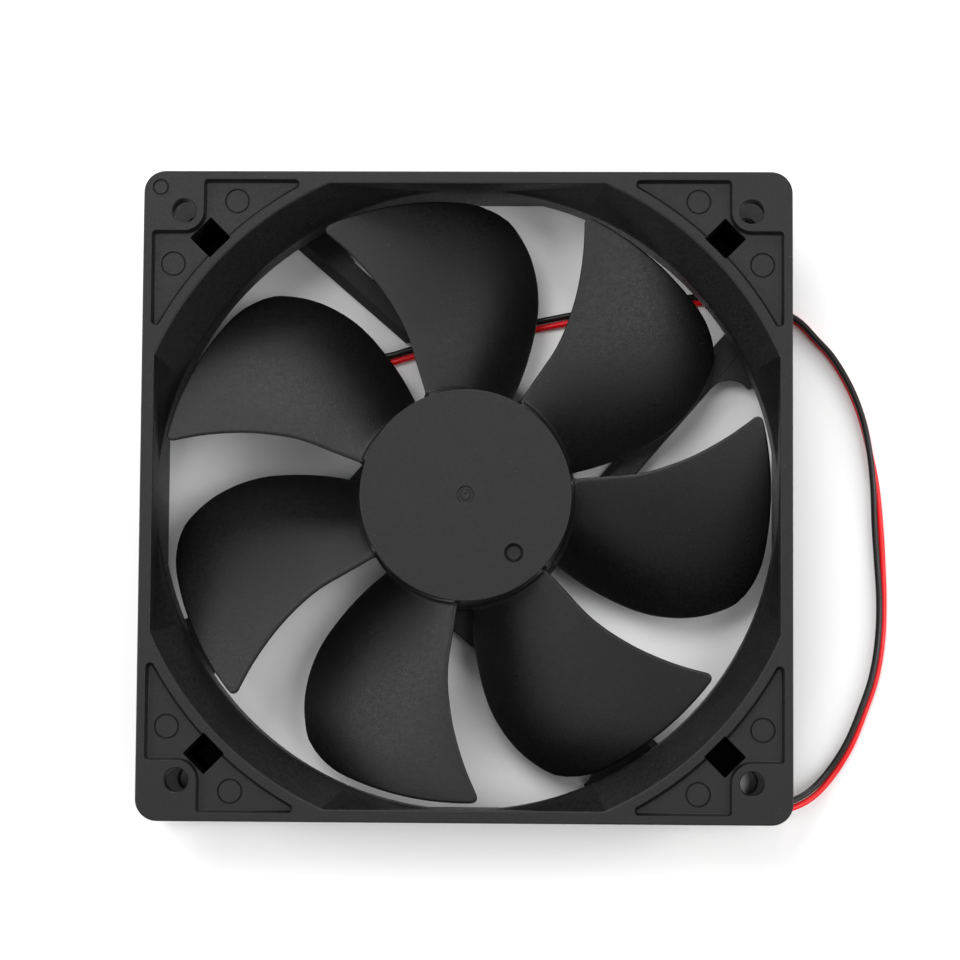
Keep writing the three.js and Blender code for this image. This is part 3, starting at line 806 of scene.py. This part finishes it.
CHANNEL_WIDTH = 4.4
LEAD_NOTCH_TURN = 125

# The grooves' two ends and their depth: one under a strut, and two that meet in the rear flange.
CHANNELS = (
    ((-13.8, 28.4), (-1.8, 31.4), 1.8),
    ((40, 39.3), (55, 39.5), 3.1),
    ((53, 40.2), (65, 33.7), 3.1),
)


def channel(start, end, depth):
    """A straight groove in the back face for the two leads."""
    run = Vector(end) - Vector(start)
    half = run.length / 2
    outline = rounded_rectangle(half, CHANNEL_WIDTH / 2, 0.4, 3)
    groove = lofted("groove", [at_height(outline, -1), at_height(outline, depth)])
    middle = (Vector(start) + Vector(end)) / 2
    groove.data.transform(Matrix.Rotation(math.atan2(run.y, run.x), 4, "Z"))
    return moved(groove, middle.x, middle.y)


def lead_notch():
    outline = rounded_rectangle(2.5, CHANNEL_WIDTH / 2, 0.5, 3)
    notch = lofted("notch", [at_height(outline, BASE_FLOOR), at_height(outline, BASE_HEIGHT + 1)])
    moved(notch, (SKIRT_BORE + BASE_RADIUS) / 2, 0)
    notch.data.transform(Matrix.Rotation(math.radians(LEAD_NOTCH_TURN), 4, "Z"))
    return notch


def make_frame():
    body = flange_plate(0, FLANGE)
    combine(body, flange_plate(DEPTH - FLANGE, DEPTH), "UNION")
    combine(body, duct_spool(), "UNION")
    for piece in spun(post, QUARTERS):
        combine(body, piece, "UNION")
    combine(body, air_passage(), "DIFFERENCE")
    for maker in (corner_pocket, screw_hole, post_hole):
        for piece in spun(maker, QUARTERS):
            combine(body, piece, "DIFFERENCE")
    for x, y in PIN_MARKS:
        for piece in spun(lambda: pin_mark(x, y), QUARTERS):
            combine(body, piece, "DIFFERENCE")
    combine(body, pin_mark(-CORNER_MARK, CORNER_MARK, 1.5, DEPTH), "DIFFERENCE")
    for turn, width in zip(QUARTERS, STRUT_WIDTHS):
        for piece in spun(lambda: strut(width), [STRUT_TURN + turn]):
            combine(body, piece, "UNION")
    bore = turned("bore", [(0, -1), (SKIRT_BORE + 0.2, -1), (SKIRT_BORE + 0.2, 8), (0, 8)], 64)
    combine(body, bore, "DIFFERENCE")
    combine(body, motor_base(), "UNION")
    combine(body, lead_notch(), "DIFFERENCE")
    for groove in CHANNELS:
        combine(body, channel(*groove), "DIFFERENCE")
    return finish_piece(body, "frame_moulding", BLACK_FRAME, "housing", "frame")


make_frame()

# ---------------------------------------------------------------- impeller

IMPELLER_RADIUS = 56.45
BLADE_COUNT = 7
BLADE_TOP = 23.5
BLADE_BOTTOM = 6.6
HUB_TOP_RADIUS = 19.53
HUB_SKIRT_RADIUS = 19.9
HUB_BORE = 18.3
HUB_TOP = 24.5
HUB_BOTTOM = 6
HUB_CEILING = 22.3
SHAFT_BOSS_RADIUS = 5.4
SHAFT_BOSS_BOTTOM = 17.7
DIMPLE_PLACE = (8.93, -10.6)

# Lengths over which a blade's section rounds off at its two ends and at its rim.
EDGE_ROUNDING = 0.5
RIM_ROUNDING = 0.45

# A rounded tip corner's reach in from the rim, and how far it draws the edge back there.
LEADING_CORNER = (1.7, 1.9)
TRAILING_CORNER = (3.2, 7)

# Angles of the first blade's two edges, in degrees, at listed radii.
EDGE_RADII = (18, 25, 32, 40, 48, 54, 58)
LEADING_TURNS = (60.6, 59.5, 58.9, 60.8, 63.8, 66.4, 68.2)
TRAILING_TURNS = (16.1, 15.7, 16.9, 19.6, 24.7, 30.6, 35.4)


def eased(xs, ys, x):
    """A smooth curve through the points (xs, ys), by cubic pieces."""
    i = max(0, min(len(xs) - 2, sum(1 for value in xs[1:] if value <= x)))

    def slope(k):
        low, high = max(k - 1, 0), min(k + 1, len(xs) - 1)
        return (ys[high] - ys[low]) / (xs[high] - xs[low])

    width = xs[i + 1] - xs[i]
    t = (x - xs[i]) / width
    return (
        ys[i] * (2 * t**3 - 3 * t**2 + 1)
        + ys[i + 1] * (3 * t**2 - 2 * t**3)
        + slope(i) * width * (t**3 - 2 * t**2 + t)
        + slope(i + 1) * width * (t**3 - t**2)
    )


def corner_pull(radius, radial, along):
    """How far a rounded corner draws an edge back at a radius, in millimetres."""
    into = max(0, radius - (IMPELLER_RADIUS - radial)) / radial
    return along * (1 - math.sqrt(max(0, 1 - into * into)))


def chord_stations(length):
    """Distances along a blade section, closer together at its two rounded ends."""
    near = [EDGE_ROUNDING * (1 - math.cos(math.pi / 2 * i / 4)) for i in range(4)]
    middle = [EDGE_ROUNDING + (length - 2 * EDGE_ROUNDING) * i / 26 for i in range(27)]
    return near + middle + [length - value for value in reversed(near)]


def section_half(distance, length, radius):
    """Half the blade's thickness at a distance along its section."""
    share = distance / length
    out = (radius - HUB_TOP_RADIUS) / (IMPELLER_RADIUS - HUB_TOP_RADIUS)
    middle = 0.85 - 0.22 * out
    half = 0.4 + (middle - 0.4) * math.sqrt(4 * share * (1 - share))
    for reach in (distance, length - distance):
        if reach < EDGE_ROUNDING:
            half *= math.sqrt(max(0, 1 - (1 - reach / EDGE_ROUNDING) ** 2))
    rim = IMPELLER_RADIUS - radius
    if rim < RIM_ROUNDING:
        half *= 0.25 + 0.75 * math.sqrt(max(0, 1 - (1 - rim / RIM_ROUNDING) ** 2))
    fillet = 0.9
    root = max(0, min(fillet, HUB_SKIRT_RADIUS + fillet - radius))
    return half + fillet - math.sqrt(fillet**2 - root**2)


def blade_section(radius):
    """The closed outline of the blade at one radius, as points in space."""
    lead = math.radians(eased(EDGE_RADII, LEADING_TURNS, radius))
    trail = math.radians(eased(EDGE_RADII, TRAILING_TURNS, radius))
    chord = (lead - trail) * radius
    height = BLADE_TOP - BLADE_BOTTOM
    flatness = 0.55
    start = corner_pull(radius, *LEADING_CORNER)
    length = chord - start - corner_pull(radius, *TRAILING_CORNER)
    upper = []
    lower = []
    for distance in chord_stations(length):
        u = (start + distance) / chord
        turn = lead - (lead - trail) * u
        z = BLADE_TOP - height * (flatness * u + (1 - flatness) * u * u)
        fall = height * (flatness + 2 * (1 - flatness) * u)
        run = math.hypot(chord, fall)
        half = section_half(distance, length, radius)
        back = half * fall / run / radius
        up = half * chord / run
        upper.append((turn - back, z + up))
        lower.append((turn + back, z - up))
    outline = upper + list(reversed(lower[1:-1]))
    return [(radius * math.cos(turn), radius * math.sin(turn), z) for turn, z in outline]


def blade():
    """One blade, through sections that lie closer together at its root and its rim."""
    root = [18.9, 19.5, 19.9, 20.1, 20.3, 20.55, 20.8]
    span_end = 55.0
    steps = 34
    span = [root[-1] + (span_end - root[-1]) * i / steps for i in range(1, steps + 1)]
    rim = [55.5, 55.85, 56.0, 56.13, 56.25, 56.35, 56.42, IMPELLER_RADIUS]
    return lofted("blade", [blade_section(radius) for radius in root + span + rim])


def hub():
    soft = 0.22
    profile = [
        (0, HUB_CEILING),
        (SHAFT_BOSS_RADIUS, HUB_CEILING),
        (5.7, HUB_CEILING),
        (HUB_BORE - 0.5, HUB_CEILING),
        (HUB_BORE, HUB_CEILING - 0.5),
        (HUB_BORE, HUB_BOTTOM + 0.2),
        (HUB_BORE + 0.2, HUB_BOTTOM),
        (HUB_SKIRT_RADIUS - 0.2, HUB_BOTTOM),
        (HUB_SKIRT_RADIUS, HUB_BOTTOM + 0.2),
        *arc((HUB_TOP_RADIUS - soft, HUB_TOP - soft), soft, 0, 90, 5),
        (1.75, HUB_TOP),
        (1.62, HUB_TOP - 0.06),
        (1.5, HUB_TOP - 0.28),
        (1.05, HUB_TOP - 0.28),
        (0.9, HUB_TOP - 0.12),
        (0.45, HUB_TOP - 0.1),
        (0.3, HUB_TOP - 0.22),
        (0, HUB_TOP - 0.24),
    ]
    return turned("hub", profile, 160)


def shaft_boss():
    """The ring under the hub's ceiling, round the shaft's bush."""
    inner = TUBE_RADIUS + 0.1
    top = HUB_CEILING + 0.2
    profile = [
        (inner, SHAFT_BOSS_BOTTOM),
        (SHAFT_BOSS_RADIUS, SHAFT_BOSS_BOTTOM),
        (SHAFT_BOSS_RADIUS, top),
        (inner, top),
    ]
    return turned("boss", profile, 64)


def balance_dimple():
    profile = [
        (0, HUB_TOP - 1.1),
        (1.2, HUB_TOP - 1.0),
        (1.62, HUB_TOP - 0.5),
        (1.78, HUB_TOP),
        (1.84, HUB_TOP + 1),
        (0, HUB_TOP + 1),
    ]
    return moved(turned("dimple", profile, 48), *DIMPLE_PLACE)


def make_impeller():
    body = hub()
    combine(body, shaft_boss(), "UNION")
    for piece in spun(blade, [360 * i / BLADE_COUNT for i in range(BLADE_COUNT)]):
        combine(body, piece, "UNION")
    combine(body, balance_dimple(), "DIFFERENCE")
    return finish_piece(body, "impeller_moulding", BLACK_IMPELLER, "rotor", "impeller")


make_impeller()

# ---------------------------------------------------------------- plug

plug_low, plug_high = box_mm("plug_housing")
PLUG_PITCH = 2.5
RIB = 0.5
KEY_RIB_OFFSET = 1.9
KEY_RIB_HALF = 0.45
CAVITY_HALF_WIDTH = 1.3
CAVITY_HALF_HEIGHT = 0.95
WINDOW_START = 41
WINDOW_END = 43.4
WINDOW_HALF = 0.6


def soft_block(low, high, soft=0.18):
    half_x = (high[0] - low[0]) / 2
    half_y = (high[1] - low[1]) / 2
    outline = rounded_rectangle(half_x, half_y, 0.3, 3)
    piece = soft_prism("block", outline, low[2], high[2], soft, soft)
    return moved(piece, low[0] + half_x, low[1] + half_y)


def make_plug():
    """A two-way crimp housing with through cavities, latch windows and keying ribs."""
    top = plug_high.z - RIB
    middle_y = (plug_low.y + plug_high.y) / 2
    middle_z = (plug_low.z + top) / 2
    body = soft_block(plug_low, (plug_high.x, plug_high.y, top))
    for side in (1, -1):
        y = middle_y + side * KEY_RIB_OFFSET
        low = (plug_low.x, y - KEY_RIB_HALF, top - 1)
        high = (plug_high.x - 4, y + KEY_RIB_HALF, plug_high.z)
        combine(body, soft_block(low, high, 0.12), "UNION")
    for side in (1, -1):
        z = middle_z + side * PLUG_PITCH / 2
        low = (plug_low.x - 1, middle_y - CAVITY_HALF_WIDTH, z - CAVITY_HALF_HEIGHT)
        high = (plug_high.x + 1, middle_y + CAVITY_HALF_WIDTH, z + CAVITY_HALF_HEIGHT)
        combine(body, soft_block(low, high, 0.1), "DIFFERENCE")
        low = (WINDOW_START, plug_high.y - 2.5, z - WINDOW_HALF)
        high = (WINDOW_END, plug_high.y + 1, z + WINDOW_HALF)
        combine(body, soft_block(low, high, 0.1), "DIFFERENCE")
    return finish_piece(body, "plug_moulding", WHITE_NYLON, "housing", "plug_housing")


plug = make_plug()

# ---------------------------------------------------------------- carried-over CAD nodes

for part in frame["record"]["subparts"]:
    finish = SLOT_MATERIALS.get(part["material_slot"])
    if finish is not None:
        data = frame["nodes"][part["node"]].data
        data.materials.clear()
        data.materials.append(finish)

# ---------------------------------------------------------------- table, light and world


TABLE_HALF = 2.5
TABLE_DROP = 0.00002


def make_table():
    """A white table top, a hair below the fan's back face."""
    signs = ((-1, -1), (1, -1), (1, 1), (-1, 1))
    corners = [(TABLE_HALF * x, TABLE_HALF * y, 0) for x, y in signs]
    table = mesh_object("table", corners, [(0, 1, 2, 3)])
    table.location.z = -TABLE_DROP
    shader = Shader("table_white")
    shader.set(Base_Color=grey(0.86), Roughness=0.55)
    shader.surface.inputs["Specular IOR Level"].default_value = 0.2
    table.data.materials.append(shader.material)


WORLD_STRENGTH = 0.42
LIGHT_SIZE = 0.64
LIGHT_DISTANCE = 1.2

# Each studio light's name, its azimuth from +X and its angle down from overhead in degrees, and
# its power in watts.
LIGHTS = (
    ("high_right", 0, 30, 3.7),
    ("high_left", 120, 30, 6.2),
    ("low_right", 0, 58, 6.0),
    ("low_left", 180, 58, 7.4),
    ("low_behind", 90, 72, 9.5),
    ("low_front", 240, 58, 2.6),
)


def studio_light(name, azimuth, slant, power):
    light = bpy.data.lights.new(name, "AREA")
    light.shape = "DISK"
    light.size = LIGHT_SIZE
    light.energy = power
    holder = bpy.data.objects.new(name, light)
    away = Vector((0, 0, LIGHT_DISTANCE))
    away.rotate(Matrix.Rotation(math.radians(slant), 3, "Y"))
    away.rotate(Matrix.Rotation(math.radians(azimuth), 3, "Z"))
    holder.location = away
    holder.rotation_euler = away.to_track_quat("Z", "Y").to_euler()
    bpy.context.scene.collection.objects.link(holder)


def make_world(strength):
    world = bpy.data.worlds.new("studio")
    world.use_nodes = True
    background = world.node_tree.nodes["Background"]
    background.inputs["Color"].default_value = grey(1)
    background.inputs["Strength"].default_value = strength
    bpy.context.scene.world = world


make_table()
for settings in LIGHTS:
    studio_light(*settings)
make_world(WORLD_STRENGTH)
bpy.context.scene.view_settings.view_transform = "Standard"
